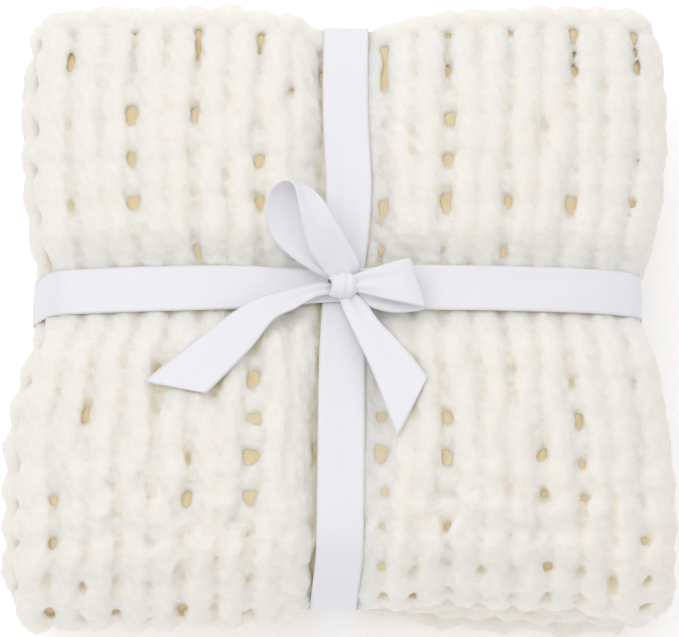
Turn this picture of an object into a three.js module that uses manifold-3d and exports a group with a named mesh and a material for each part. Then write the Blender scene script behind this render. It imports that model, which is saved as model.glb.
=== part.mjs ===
// A chunky chenille knit blanket, folded in three both ways and tied like a parcel
// with one satin ribbon that ends in a bow.
//
// Millimetres. The ribs of the knit run along Y, the front fold faces -Y, +Z is up,
// and the underside rests on z = 0.
import * as THREE from 'three';
import { mergeVertices } from 'three/addons/utils/BufferGeometryUtils.js';
import Module from 'manifold-3d';

// ---- driving dimensions: the cloth
const foldedWidth = 365;      // across the ribs, at the fullest part of the sides
const foldedDepth = 351;      // along the ribs, front fold to back fold
const plyThickness = 12.8;    // one thickness of the knitted cloth, as packed
const plyGap = 0.9;           // between the three plies of one leaf
const leafGap = 1.8;          // between the three leaves of the stack
const ribPitch = 18;          // one plump leg of a stitch column
const ribHeight = 3.2;        // how far a rib stands above the grooves beside it

// ---- driving dimensions: the ribbon
const ribbonWidth = 25.5;     // a 1 inch satin ribbon
const ribbonThickness = 1;
const ribbonClearance = 0.7;  // between a taut ribbon and what it goes round
const laneX = 2.3;            // middle of the ribbon that runs front to back
const laneY = 5.5;            // middle of the ribbon that runs side to side
const laneFloor = 14;         // half the width of the level trough under a ribbon
const laneReach = 34;         // where the trough has come back up to the full height
const topDip = 6;             // how far the ribbons sink into the top
const undersideDip = 3.8;     // and into the underside, where one crosses the other

// ---- driving dimensions: how the tied bundle departs from a square stack
const sideDraw = 12;          // how far the ribbon draws each side in
const frontDraw = 13;         // and the front
const backDraw = 18;          // and the back
const drawReach = 26;         // how far along the edge that pull is felt
const sideSlump = 13;         // how much lower the top is at the sides than in the middle
const endSlump = 9;           // and at the front and the back
const quarterPuff = 4;        // how much each quarter rises between the ribbons
const cornerDraw = 0.02;      // share by which a corner of the plan is rounded off
const sideRound = 0.028;      // share by which the sides draw in at the top and the bottom
const waver = 1.8;            // unevenness of the sides and ends
const sideWave = { length: 40, start: -1.4 };
const leftSpread = { far: 3.5, at: -70, reach: 40 };  // the front left bulges a little more
const endWave = { length: 29, start: 2 };
const backLean = 2;           // how far the back has slipped to the right
const bottomTurn = 8;         // how far the lowest leaf has turned, at its corners
const bottomInset = 11;       // how far its front end stays behind the front fold
const frontSlip = 12;         // how much further back the front fold lies on the right
const slipAcross = { from: 0.05, full: 0.35, easeFrom: 0.7, lost: 0.6 }; // shares of half the width

// ---- worked out from them
const halfWidth = foldedWidth / 2;
const halfDepth = foldedDepth / 2;
const plyStep = plyThickness + plyGap;
const leafThickness = 3 * plyThickness + 2 * plyGap;
const leafStep = leafThickness + leafGap;
const stackHeight = 3 * leafThickness + 2 * leafGap;
const sideFoldAt = halfWidth - (plyStep + plyThickness) / 2; // where a ply starts to fold over
const endFoldAt = halfDepth - leafThickness - leafGap / 2;   // where a leaf starts to fold over
const cutSideAt = halfWidth - 7;                             // the cloth's own side edges
const cutEnd = [                                             // and its ends, thinned off
  { inside: 16, trim: 1 },
  { inside: 5, trim: 0.9 },
  { inside: 1, trim: 0.5 },
];

const smooth = (t) => {
  const share = Math.min(1, Math.max(0, t));
  return share * share * (3 - 2 * share);
};
const pullAt = (distance) => 1 / Math.cosh(distance / drawReach);
const troughAt = (distance) => smooth((laneReach - Math.abs(distance)) / (laneReach - laneFloor));

// The front fold lies further back to the right of the ribbon, and recovers towards the corner.
function slipAt(u, v, h) {
  const { from, full, easeFrom, lost } = slipAcross;
  const right = smooth((u - from) / (full - from));
  const corner = 1 - lost * smooth((u - easeFrom) / (1 - easeFrom));
  return frontSlip * right * corner * Math.min(v, 0) ** 4 * smooth(2 * h);
}

// Takes a point of the square stack to where it lies in the tied bundle: the ribbons draw the
// sides in and sink into the top, each quarter puffs up, and the edges and corners slump.
// sunk is 0 for what bridges the troughs.
function tied(x, y, z, sunk = 1) {
  const u = x / halfWidth;
  const v = y / halfDepth;
  const h = z / stackHeight;
  const trough = sunk * Math.max(troughAt(x - laneX), troughAt(y - laneY));
  const slump = sideSlump * Math.abs(u) ** 3 + endSlump * v ** 4;
  const puff = quarterPuff * Math.sin(Math.PI * u) ** 2 * Math.sin(Math.PI * v) ** 2;
  const corner = 1 - cornerDraw * (u * v) ** 6;
  const waist = 1 - (sideDraw / halfWidth) * pullAt(y - laneY);
  const cinch = 1 - ((v < 0 ? frontDraw : backDraw) / halfDepth) * pullAt(x - laneX);
  const belly = 1 - sideRound * (2 * h - 1) ** 4;
  const sideRipple = Math.sin(y / sideWave.length + sideWave.start) * u ** 3;
  const endRipple = Math.sin(x / endWave.length + endWave.start) * v ** 3 * h;
  const bulge = leftSpread.far * Math.exp(-(((y - leftSpread.at) / leftSpread.reach) ** 2));
  const sideways = waver * sideRipple + backLean * v - bulge * Math.min(u, 0) ** 2;
  const endways = waver * endRipple - bottomTurn * u * v * v * (1 - h) ** 2 + slipAt(u, v, h);
  return new THREE.Vector3(
    x * waist * corner * belly + sideways,
    y * cinch * corner + endways,
    z + (puff - slump) * h - topDip * trough * h * h + undersideDip * trough * (1 - h) ** 2,
  );
}

// ---- a leaf's section, across X
// One ply run right, back left and right again, with a round fold at each side. run is the
// distance along the ply's middle line, and facing is the way that its first face looks: up on
// the top ply, down on the middle one and up again on the bottom one.
const foldRadius = plyStep / 2;
const foldRun = Math.PI * foldRadius;
const topRun = cutSideAt + sideFoldAt;
const middleStart = topRun + foldRun;
const bottomStart = middleStart + 2 * sideFoldAt + foldRun;
const wholeRun = bottomStart + topRun;

function alongPly(run) {
  const level = (across, height, facing) => ({ across, height, facing: [0, facing] });
  const turning = (side, angle, facing) => ({
    across: side * sideFoldAt + foldRadius * Math.cos(angle),
    height: side * foldRadius + foldRadius * Math.sin(angle),
    facing: [facing * Math.cos(angle), facing * Math.sin(angle)],
  });
  if (run <= topRun) return level(run - cutSideAt, plyStep, 1);
  if (run < middleStart) return turning(1, Math.PI / 2 - (run - topRun) / foldRadius, 1);
  if (run <= bottomStart - foldRun) return level(sideFoldAt - (run - middleStart), 0, -1);
  if (run < bottomStart) return turning(-1, Math.PI / 2 + (run - bottomStart + foldRun) / foldRadius, -1);
  return level(run - bottomStart - sideFoldAt, -plyStep, 1);
}

// A face that shows has a groove at each pitch, raised shoulders between, and a plain strip
// under the ribbon. lift is the share of a rib's height that raises a point.
function ribbedFace(from, to, shoulders) {
  const points = [];
  for (const [start, end] of [[from, laneX - laneFloor], [laneX + laneFloor, to]]) {
    const ribs = Math.round((end - start) / ribPitch);
    const pitch = (end - start) / ribs;
    for (let rib = 0; rib < ribs; rib++) {
      points.push({ across: start + rib * pitch, lift: 0 });
      for (const shoulder of shoulders) {
        points.push({ across: start + (rib + shoulder) * pitch, lift: 1 });
      }
    }
    points.push({ across: end, lift: 0 });
  }
  return points;
}

// The ply's two faces, as points in order along the run.
const onTop = (p) => ({ run: p.across + cutSideAt, lift: p.lift ?? 0 });
const inMiddle = (p) => ({ run: middleStart + sideFoldAt - p.across, lift: 0 });
const onBottom = (p) => ({ run: bottomStart + sideFoldAt + p.across, lift: p.lift ?? 0 });
const inFold = (start, steps) => Array.from({ length: steps - 1 }, (_, i) => ({
  run: start + (foldRun * (i + 1)) / steps, lift: 0,
}));
const quarterWay = [0.35, 0.65];
const hidden = [
  -sideFoldAt, ...quarterWay.toReversed().map((share) => -share * halfWidth), laneX - laneFloor,
  laneX + laneFloor, ...quarterWay.map((share) => share * halfWidth), sideFoldAt,
].map((across) => ({ across }));
const firstFace = [
  ...ribbedFace(-cutSideAt, sideFoldAt, [0.28, 0.72]).map(onTop),
  ...inFold(topRun, 4),
  ...hidden.toReversed().map(inMiddle),
  ...inFold(bottomStart - foldRun, 2),
  ...[...hidden, { across: cutSideAt }].map(onBottom),
];
const secondFace = [
  ...[{ across: -cutSideAt }, ...hidden].map(onTop),
  ...inFold(topRun, 2),
  ...hidden.toReversed().map(inMiddle),
  ...inFold(bottomStart - foldRun, 4),
  ...ribbedFace(-sideFoldAt, cutSideAt, [0.5]).map(onBottom),
];

// Goes once round the section: along the first face and back along the second, with the cloth's
// own side edges rounded. trim thins the ply where the cloth ends.
function leafSection(trim) {
  const half = (plyThickness / 2) * trim;
  const point = ({ run, lift }, side) => {
    const { across, height, facing } = alongPly(run);
    return {
      across: across + side * half * facing[0],
      height: height + side * half * facing[1],
      lift: side * lift,
    };
  };
  return [
    point({ run: -half / 2, lift: 0 }, 0),
    ...firstFace.map((p) => point(p, 1)),
    point({ run: wholeRun + half / 2, lift: 0 }, 0),
    ...secondFace.map((p) => point(p, -1)).toReversed(),
  ];
}

// Fills the section from one side edge of the cloth to the other, by joining the two faces'
// points in the order of their runs.
function sectionTriangles() {
  const tip = firstFace.length + 1;
  const size = tip + 1 + secondFace.length;
  const second = (i) => size - 1 - i;
  const triangles = [[0, 1, second(0)]];
  let [i, k] = [0, 0];
  while (i + 1 < firstFace.length || k + 1 < secondFace.length) {
    const nextFirst = firstFace[i + 1]?.run ?? Infinity;
    const nextSecond = secondFace[k + 1]?.run ?? Infinity;
    if (nextFirst < nextSecond) {
      triangles.push([i + 1, i + 2, second(k)]);
      i += 1;
    } else {
      triangles.push([i + 1, second(k + 1), second(k)]);
      k += 1;
    }
  }
  return [...triangles, [tip - 1, tip, second(k)]];
}

// ---- the way that section takes, from the back end of the top leaf to the front end of the
// bottom one. up is the direction of the section's height, and ribs says which face shows.
function foldedPath() {
  const rows = [];
  const leafMiddle = (leaf) => leafThickness / 2 + leaf * leafStep;
  const levelRow = (leaf, y, trim = 1) => rows.push({
    y, z: leafMiddle(leaf), up: [0, leaf === 1 ? -1 : 1], trim, ribs: leaf === 2 ? 'upper' : 'none',
  });
  const endFold = (side, below, ribs) => {
    const steps = 6;
    for (let i = 1; i < steps; i++) {
      const angle = Math.PI * (i / steps);
      const out = [side * Math.sin(angle), Math.cos(angle)];
      rows.push({
        y: side * endFoldAt + (leafStep / 2) * out[0],
        z: leafMiddle(below) + leafStep / 2 + (leafStep / 2) * out[1],
        up: out.map((part) => -side * part),
        trim: 1,
        ribs,
      });
    }
  };
  const lanes = [laneReach, laneFloor, -laneFloor, -laneReach].map((offset) => laneY + offset);
  const midway = (laneReach + endFoldAt) / 2;
  const backToFront = [endFoldAt, midway, ...lanes, -midway, -endFoldAt];

  cutEnd.toReversed().forEach(({ inside, trim }) => levelRow(2, halfDepth - inside, trim));
  backToFront.forEach((y) => levelRow(2, y));
  endFold(-1, 1, 'upper');
  backToFront.toReversed().forEach((y) => levelRow(1, y));
  endFold(1, 0, 'lower');
  backToFront.forEach((y) => levelRow(0, y));
  cutEnd.forEach(({ inside, trim }) => levelRow(0, bottomInset + inside - halfDepth, trim));
  return rows;
}

// Each rib is a little taller or flatter than the next, and swells and thins along its length.
const plumpness = (x, along) => 1 + 0.22 * Math.sin(x * 0.61 + along * 1.9) * Math.cos(x * 0.17 - along);

function blanketGeometry() {
  const rings = foldedPath().map((row, along) => leafSection(row.trim).map((point) => {
    const shows = point.lift > 0 ? row.ribs === 'upper' : row.ribs === 'lower';
    const rib = shows ? point.lift * ribHeight * plumpness(point.across, along) : 0;
    const height = point.height + rib;
    return tied(point.across, row.y + row.up[0] * height, row.z + row.up[1] * height);
  }));
  return closedSweep(rings, sectionTriangles());
}

// Joins rings of points into one closed surface, with the given triangles as its two ends. A
// quad is always cut along the same way of the plan, so that faces that lie together match.
function closedSweep(rings, ends) {
  const size = rings[0].length;
  const faces = [];
  for (let j = 0; j + 1 < rings.length; j++) {
    for (let i = 0; i < size; i++) {
      const k = (i + 1) % size;
      const [a, b, c, d] = [j * size + i, j * size + k, (j + 1) * size + k, (j + 1) * size + i];
      const across = rings[j][k].x - rings[j][i].x;
      const along = rings[j + 1][i].y - rings[j][i].y;
      faces.push(...(across * along > 0 ? [a, b, c, a, c, d] : [a, b, d, b, c, d]));
    }
  }
  const last = (rings.length - 1) * size;
  for (const [p, q, r] of ends) faces.push(r, q, p, last + p, last + q, last + r);
  return facingOut(rings.flat(), faces);
}

function facingOut(points, faces) {
  let volume = 0;
  for (let f = 0; f < faces.length; f += 3) {
    const [p, q, r] = [points[faces[f]], points[faces[f + 1]], points[faces[f + 2]]];
    volume += p.dot(new THREE.Vector3().crossVectors(q, r));
  }
  const geometry = new THREE.BufferGeometry().setFromPoints(points);
  geometry.setIndex(volume > 0 ? faces : faces.toReversed());
  geometry.computeVertexNormals();
  return geometry;
}

// ---- ribbon
// A flat strip: each row gives its two edges. A closed strip ends where it began.
function ribbonGeometry(rows, closed) {
  const middles = rows.map((row) => row.left.clone().lerp(row.right, 0.5));
  const rings = rows.map((row, i) => {
    const before = closed ? middles.at(i - 1) : middles[Math.max(0, i - 1)];
    const after = closed ? middles[(i + 1) % rows.length] : middles[Math.min(rows.length - 1, i + 1)];
    const across = row.right.clone().sub(row.left);
    const offset = after.clone().sub(before).cross(across).setLength(ribbonThickness / 2);
    return [
      row.left.clone().add(offset), row.right.clone().add(offset),
      row.right.clone().sub(offset), row.left.clone().sub(offset),
    ];
  });
  if (!closed) return closedSweep(rings, [[0, 1, 2], [0, 2, 3]]);
  const faces = [];
  rings.forEach((ring, j) => {
    const next = (j + 1) % rings.length;
    for (let i = 0; i < 4; i++) {
      const k = (i + 1) % 4;
      const [a, b, c, d] = [j * 4 + i, j * 4 + k, next * 4 + k, next * 4 + i];
      faces.push(a, b, c, a, c, d);
    }
  });
  return facingOut(rings.flat(), faces);
}

function convexHull(points) {
  const sorted = points.toSorted((p, q) => p.x - q.x || p.y - q.y);
  const chain = (list) => {
    const kept = [];
    for (const p of list) {
      while (kept.length > 1) {
        const [o, q] = kept.slice(-2);
        if ((q.x - o.x) * (p.y - o.y) - (q.y - o.y) * (p.x - o.x) > 0) break;
        kept.pop();
      }
      kept.push(p);
    }
    return kept.slice(0, -1);
  };
  return [...chain(sorted), ...chain(sorted.toReversed())];
}

// The line that a taut ribbon takes round these points, seen from the side: their convex hull,
// less corners that all but coincide, pushed outwards, with each sharp turn made in steps.
function tautLine(points, outwards) {
  const sameCorner = 1.5;
  const sharpestTurn = 0.6;
  const longestStep = 15;
  const hull = convexHull(points);
  const corners = hull.filter((corner, i) => corner.distanceTo(hull.at(i - 1)) > sameCorner);
  const wayOut = (from, to) => Math.atan2(from.x - to.x, to.y - from.y);
  const line = corners.flatMap((corner, i) => {
    const start = wayOut(corners.at(i - 1), corner);
    const end = wayOut(corner, corners[(i + 1) % corners.length]);
    const turn = (end - start + 2 * Math.PI) % (2 * Math.PI);
    const steps = Math.ceil(turn / sharpestTurn);
    const reach = outwards / Math.cos(turn / (2 * steps));
    return Array.from({ length: steps }, (_, step) => {
      const angle = start + turn * ((step + 0.5) / steps);
      return new THREE.Vector2(Math.cos(angle), Math.sin(angle)).multiplyScalar(reach).add(corner);
    });
  });
  return line.flatMap((from, i) => {
    const to = line[(i + 1) % line.length];
    const steps = Math.ceil(from.distanceTo(to) / longestStep);
    return Array.from({ length: steps }, (_, step) => from.clone().lerp(to, step / steps));
  });
}

const pointsOf = (geometry) => {
  const place = geometry.getAttribute('position');
  return Array.from({ length: place.count }, (_, i) => new THREE.Vector3().fromBufferAttribute(place, i));
};
const outwards = ribbonClearance + ribbonThickness / 2;

// Front to back, right against the cloth, and leaning with it.
function lengthwiseRows(cloth) {
  const middleAt = (y) => laneX + (backLean * y) / halfDepth;
  const under = cloth.filter((p) => Math.abs(p.x - middleAt(p.y)) < laneFloor + 2);
  return tautLine(under.map((p) => new THREE.Vector2(p.y, p.z)), outwards).map((p) => ({
    left: new THREE.Vector3(middleAt(p.x) - ribbonWidth / 2, p.x, p.y),
    right: new THREE.Vector3(middleAt(p.x) + ribbonWidth / 2, p.x, p.y),
  }));
}

// Side to side, outside the first where they cross.
function crosswiseRows(cloth, firstPass) {
  const under = [...cloth, ...firstPass].filter((p) => Math.abs(p.y - laneY) < laneFloor + 2);
  return tautLine(under.map((p) => new THREE.Vector2(p.x, p.z)), outwards).map((p) => ({
    left: new THREE.Vector3(p.x, laneY + ribbonWidth / 2, p.y),
    right: new THREE.Vector3(p.x, laneY - ribbonWidth / 2, p.y),
  }));
}

// ---- the bow: a knot, two loops and two free ends. Each row of a table is the ribbon's two
// edges, as x, y and the height above the knot's middle, from the knot outwards. All the strips
// start inside the knot.
const knot = { middle: [2, 3.5, 129.2], radii: [8.5, 7.5, 5.6], pleats: 2.5, pleatDepth: 0.08 };

const backLoop = [
  { left: [-3, 5.5, 0], right: [7, 8, 0] },
  { left: [-9, 11.5, 5], right: [12, 13.5, 3] },
  { left: [-15, 18.5, 12], right: [6, 25.5, 9] },
  { left: [-18.5, 29, 19], right: [-2, 37.5, 13] },
  { left: [-21, 40.5, 24], right: [-9, 48.5, 11] },
  { left: [-24.5, 54.5, 25], right: [-15, 56, 8] },
  { left: [-32, 56.5, 19], right: [-17, 58, 6] },
  { left: [-38.5, 50.5, 12], right: [-17, 52.5, 5] },
  { left: [-39, 38.5, 7], right: [-14.5, 38.5, 3] },
  { left: [-33, 25.5, 4], right: [-10, 26.5, 2] },
  { left: [-17, 13, 2], right: [-4, 16.5, 0.5] },
  { left: [-3, 6.5, -1], right: [3, 9.5, -1] },
];
const rightLoop = [
  { left: [4, 7.5, 1.5], right: [6, 1, 1] },
  { left: [12, 9.8, 5], right: [13, -1.5, 3] },
  { left: [25, 13.2, 9], right: [27, -6, 6] },
  { left: [35, 16, 9.5], right: [41, -9, 6] },
  { left: [39, 16.8, 7], right: [47.5, -10, 3.5] },
  { left: [35, 15, 4], right: [42, -11, 0.5] },
  { left: [25, 9.5, 1.5], right: [29, -11.2, -1.2] },
  { left: [13, 5, 0], right: [16, -7.5, -2] },
  { left: [5, 3, -1], right: [6, -1, -2] },
];
// The free ends lie on the ribs, so their tables give the plan alone. Both are cut slanting.
const leftEnd = [
  { left: [-2, -0.5], right: [-2, 5.5] },
  { left: [-12, -2.5], right: [-12, 5.5] },
  { left: [-24, -9.5], right: [-28, 1] },
  { left: [-35, -15.5], right: [-45, -4] },
  { left: [-46, -30], right: [-61, -14] },
  { left: [-60, -45.5], right: [-82, -31] },
  { left: [-71, -57], right: [-105, -50] },
];
const rightEnd = [
  { left: [6, 1.5], right: [-1, 0.5] },
  { left: [14, -4.5], right: [1, -5.5] },
  { left: [21.5, -15.5], right: [4.5, -14.5] },
  { left: [30.5, -25.5], right: [9.5, -25.5] },
  { left: [39, -35.5], right: [15.5, -38.5] },
  { left: [44, -42], right: [20.5, -51] },
  { left: [47.9, -47.5], right: [31.5, -81] },
];

const liftedEdges = (table) => table.map(({ left, right }) => ({
  left: new THREE.Vector3(left[0], left[1], left[2] + knot.middle[2]),
  right: new THREE.Vector3(right[0], right[1], right[2] + knot.middle[2]),
}));

// Lays a free end from the knot down onto the ribs, across the troughs.
function laidEdges(table) {
  const tallestRib = ribHeight * 1.25;
  const clearance = ribbonThickness / 2 + 0.5;
  const leaves = knot.middle[2] - 1;
  const rowsToLand = 3;
  return table.map((row, i) => {
    const landed = smooth(i / rowsToLand);
    const edge = ([x, y]) => {
      const ground = tied(x, y, stackHeight + tallestRib, 0).z + clearance;
      return new THREE.Vector3(x, y, leaves + (ground - leaves) * landed);
    };
    return { left: edge(row.left), right: edge(row.right) };
  });
}

const wasm = await Module();
wasm.setup();

function solidOf(geometry) {
  const bare = new THREE.BufferGeometry();
  bare.setAttribute('position', geometry.getAttribute('position'));
  bare.setIndex(geometry.index);
  const merged = mergeVertices(bare, 1e-3);
  return new wasm.Manifold(new wasm.Mesh({
    numProp: 3,
    vertProperties: merged.getAttribute('position').array,
    triVerts: new Uint32Array(merged.index.array),
  }));
}

function geometryOf(solid) {
  const { vertProperties, triVerts } = solid.getMesh();
  const geometry = new THREE.BufferGeometry();
  geometry.setAttribute('position', new THREE.BufferAttribute(vertProperties, 3));
  geometry.setIndex(new THREE.BufferAttribute(triVerts, 1));
  geometry.computeVertexNormals();
  return geometry;
}

// The ribbon's last turn, pulled tight round the middle of the bow: its pleats run over it from
// front to back.
function knotGeometry() {
  const turn = new THREE.SphereGeometry(1, 18, 12);
  const place = turn.getAttribute('position');
  for (const [i, point] of pointsOf(turn).entries()) {
    const pleat = Math.cos(point.x * knot.pleats * Math.PI);
    place.setXYZ(i, ...point.multiplyScalar(1 + knot.pleatDepth * pleat));
  }
  return turn.scale(...knot.radii).translate(...knot.middle);
}

function bowGeometry() {
  const pieces = [
    knotGeometry(),
    ribbonGeometry(liftedEdges(backLoop), false),
    ribbonGeometry(liftedEdges(rightLoop), false),
    ribbonGeometry(laidEdges(leftEnd), false),
    ribbonGeometry(laidEdges(rightEnd), false),
  ];
  return geometryOf(pieces.map(solidOf).reduce((bow, piece) => bow.add(piece)));
}

// ---- the parts
const chenille = new THREE.MeshStandardMaterial({ color: 0xf2ece2, roughness: 1 });
const whiteSatin = new THREE.MeshStandardMaterial({ color: 0xefeff5, roughness: 0.35 });

function part(name, geometry, material) {
  const mesh = new THREE.Mesh(geometry, material.clone());
  mesh.name = name;
  return mesh;
}

const blanket = blanketGeometry();
const lengthwise = ribbonGeometry(lengthwiseRows(pointsOf(blanket)), true);
const crosswise = ribbonGeometry(crosswiseRows(pointsOf(blanket), pointsOf(lengthwise)), true);

const group = new THREE.Group();
group.add(part('blanket', blanket, chenille));
group.add(part('ribbon_lengthwise', lengthwise, whiteSatin));
group.add(part('ribbon_crosswise', crosswise, whiteSatin));
group.add(part('ribbon_bow', bowGeometry(), whiteSatin));

// The plan's middle goes to the origin.
const box = new THREE.Box3().setFromObject(group, true);
group.position.set(-(box.min.x + box.max.x) / 2, -(box.min.y + box.max.y) / 2, -box.min.z);

export default group;
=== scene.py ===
# A folded chenille knit throw, tied both ways with one white satin ribbon.
import math

import bmesh
import bpy
import numpy as np
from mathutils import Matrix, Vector


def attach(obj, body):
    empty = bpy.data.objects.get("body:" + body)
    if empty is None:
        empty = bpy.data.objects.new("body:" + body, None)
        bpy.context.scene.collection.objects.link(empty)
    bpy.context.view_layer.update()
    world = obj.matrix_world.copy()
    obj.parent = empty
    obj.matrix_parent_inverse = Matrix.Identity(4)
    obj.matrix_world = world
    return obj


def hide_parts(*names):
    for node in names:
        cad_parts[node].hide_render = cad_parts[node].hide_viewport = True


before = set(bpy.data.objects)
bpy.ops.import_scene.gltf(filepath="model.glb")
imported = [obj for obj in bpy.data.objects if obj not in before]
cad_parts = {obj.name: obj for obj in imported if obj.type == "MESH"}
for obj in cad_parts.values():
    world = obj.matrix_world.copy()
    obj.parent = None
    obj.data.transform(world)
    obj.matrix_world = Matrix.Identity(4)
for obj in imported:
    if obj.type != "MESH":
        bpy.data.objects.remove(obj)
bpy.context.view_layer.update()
print("frame loaded:", ", ".join(sorted(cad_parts)))

mm = 0.001

# The tied stack, in millimetres, with the same values as the part's solids.
bundle = {
    "foldedWidth": 365.0,
    "foldedDepth": 351.0,
    "plyThickness": 12.8,
    "plyGap": 0.9,
    "leafGap": 1.8,
    "cutSideIn": 7.0,                      # the cloth's own side edges, in from the folds
    "topEdgeIn": 1.0,                      # and its upper end, in from the back
    "ribHeight": 3.2,
    "laneX": 2.3,
    "laneY": 5.5,
    "laneFloor": 14.0,
    "laneReach": 34.0,
    "topDip": 6.0,
    "undersideDip": 3.8,
    "sideDraw": 12.0,
    "frontDraw": 13.0,
    "backDraw": 18.0,
    "drawReach": 26.0,
    "sideSlump": 13.0,
    "endSlump": 9.0,
    "quarterPuff": 4.0,
    "cornerDraw": 0.02,
    "sideRound": 0.028,
    "waver": 1.8,
    "sideWave": (40.0, -1.4),
    "leftSpread": (3.5, -70.0, 40.0),      # the front left bulges a little more
    "endWave": (29.0, 2.0),
    "backLean": 2.0,
    "bottomTurn": 8.0,
    "bottomInset": 11.0,
    "frontSlip": 12.0,                     # the front fold lies further back on the right
    "slipAcross": (0.05, 0.35, 0.7, 0.6),
    "planShift": (0.793, -1.777),
}
halfWidth = bundle["foldedWidth"] / 2
halfDepth = bundle["foldedDepth"] / 2
halfPly = bundle["plyThickness"] / 2
plyStep = bundle["plyThickness"] + bundle["plyGap"]
leafThickness = 3 * bundle["plyThickness"] + 2 * bundle["plyGap"]
leafStep = leafThickness + bundle["leafGap"]
stackHeight = 3 * leafThickness + 2 * bundle["leafGap"]
planShift = np.array([*bundle["planShift"], 0.0])
sideFoldAt = halfWidth - (plyStep + bundle["plyThickness"]) / 2
endFoldAt = halfDepth - leafThickness - bundle["leafGap"] / 2
cutSideAt = halfWidth - bundle["cutSideIn"]
topEdgeAt = halfDepth - bundle["topEdgeIn"]


def smooth(t):
    share = np.clip(t, 0, 1)
    return share * share * (3 - 2 * share)


def troughAt(distance):
    reach, floor = bundle["laneReach"], bundle["laneFloor"]
    return smooth((reach - np.abs(distance)) / (reach - floor))


def slipAt(u, v, h):
    start, full, easeFrom, lost = bundle["slipAcross"]
    right = smooth((u - start) / (full - start))
    corner = 1 - lost * smooth((u - easeFrom) / (1 - easeFrom))
    return bundle["frontSlip"] * right * corner * np.minimum(v, 0) ** 4 * smooth(2 * h)


def tied(x, y, z, sunk=1.0):
    # where a point of the square stack lies once the ribbon is drawn tight
    u, v, h = x / halfWidth, y / halfDepth, z / stackHeight
    trough = sunk * np.maximum(troughAt(x - bundle["laneX"]), troughAt(y - bundle["laneY"]))
    slump = bundle["sideSlump"] * np.abs(u) ** 3 + bundle["endSlump"] * v ** 4
    puff = bundle["quarterPuff"] * np.sin(np.pi * u) ** 2 * np.sin(np.pi * v) ** 2
    corner = 1 - bundle["cornerDraw"] * (u * v) ** 6
    pullY = 1 / np.cosh((y - bundle["laneY"]) / bundle["drawReach"])
    pullX = 1 / np.cosh((x - bundle["laneX"]) / bundle["drawReach"])
    waist = 1 - bundle["sideDraw"] / halfWidth * pullY
    cinch = 1 - np.where(v < 0, bundle["frontDraw"], bundle["backDraw"]) / halfDepth * pullX
    belly = 1 - bundle["sideRound"] * (2 * h - 1) ** 4
    sideLength, sideStart = bundle["sideWave"]
    endLength, endStart = bundle["endWave"]
    sideways = bundle["waver"] * np.sin(y / sideLength + sideStart) * u ** 3 + bundle["backLean"] * v
    far, at, reach = bundle["leftSpread"]
    sideways = sideways - far * np.exp(-((y - at) / reach) ** 2) * np.minimum(u, 0) ** 2
    endways = bundle["waver"] * np.sin(x / endLength + endStart) * v ** 3 * h
    endways = endways - bundle["bottomTurn"] * u * v * v * (1 - h) ** 2 + slipAt(u, v, h)
    newZ = z + (puff - slump) * h - bundle["topDip"] * trough * h * h
    newZ = newZ + bundle["undersideDip"] * trough * (1 - h) ** 2
    newX = x * waist * corner * belly + sideways
    newY = y * cinch * corner + endways
    return np.stack([newX, newY, newZ], axis=-1) + planShift


# How the flat cloth folds into the stack.
foldRadius = plyStep / 2
foldRun = math.pi * foldRadius
topRun = cutSideAt + sideFoldAt
middleStart = topRun + foldRun
middleEnd = middleStart + 2 * sideFoldAt
bottomStart = middleEnd + foldRun
clothWidth = bottomStart + topRun

endRun = math.pi * (leafStep / 2 + plyStep)      # round the outside of a fold of the whole leaf
levelRun = topEdgeAt + endFoldAt
middleLeafStart = levelRun + endRun
middleLeafEnd = middleLeafStart + 2 * endFoldAt
bottomLeafStart = middleLeafEnd + endRun
clothLength = bottomLeafStart + levelRun - bundle["bottomInset"]


def acrossLeaf(run):
    # a distance across the cloth: how far across the leaf, how high in it, and which way the knit side looks
    right = (run > topRun) & (run < middleStart)
    middle = (run >= middleStart) & (run <= middleEnd)
    left = (run > middleEnd) & (run < bottomStart)
    bottom = run >= bottomStart
    angle = np.where(right, math.pi / 2 - (run - topRun) / foldRadius,
                     math.pi / 2 + (run - middleEnd) / foldRadius)
    across = np.select(
        [right, middle, left, bottom],
        [sideFoldAt + foldRadius * np.cos(angle), sideFoldAt - (run - middleStart),
         -sideFoldAt + foldRadius * np.cos(angle), run - bottomStart - sideFoldAt],
        run - cutSideAt)
    height = np.select(
        [right, middle, left, bottom],
        [foldRadius + foldRadius * np.sin(angle), 0 * run,
         -foldRadius + foldRadius * np.sin(angle), 0 * run - plyStep],
        plyStep)
    faceX = np.select([right, left], [np.cos(angle), -np.cos(angle)], 0.0)
    faceZ = np.select([right, middle, left, bottom],
                      [np.sin(angle), -1 + 0 * run, -np.sin(angle), 1 + 0 * run], 1.0)
    return across, height, faceX, faceZ


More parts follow.
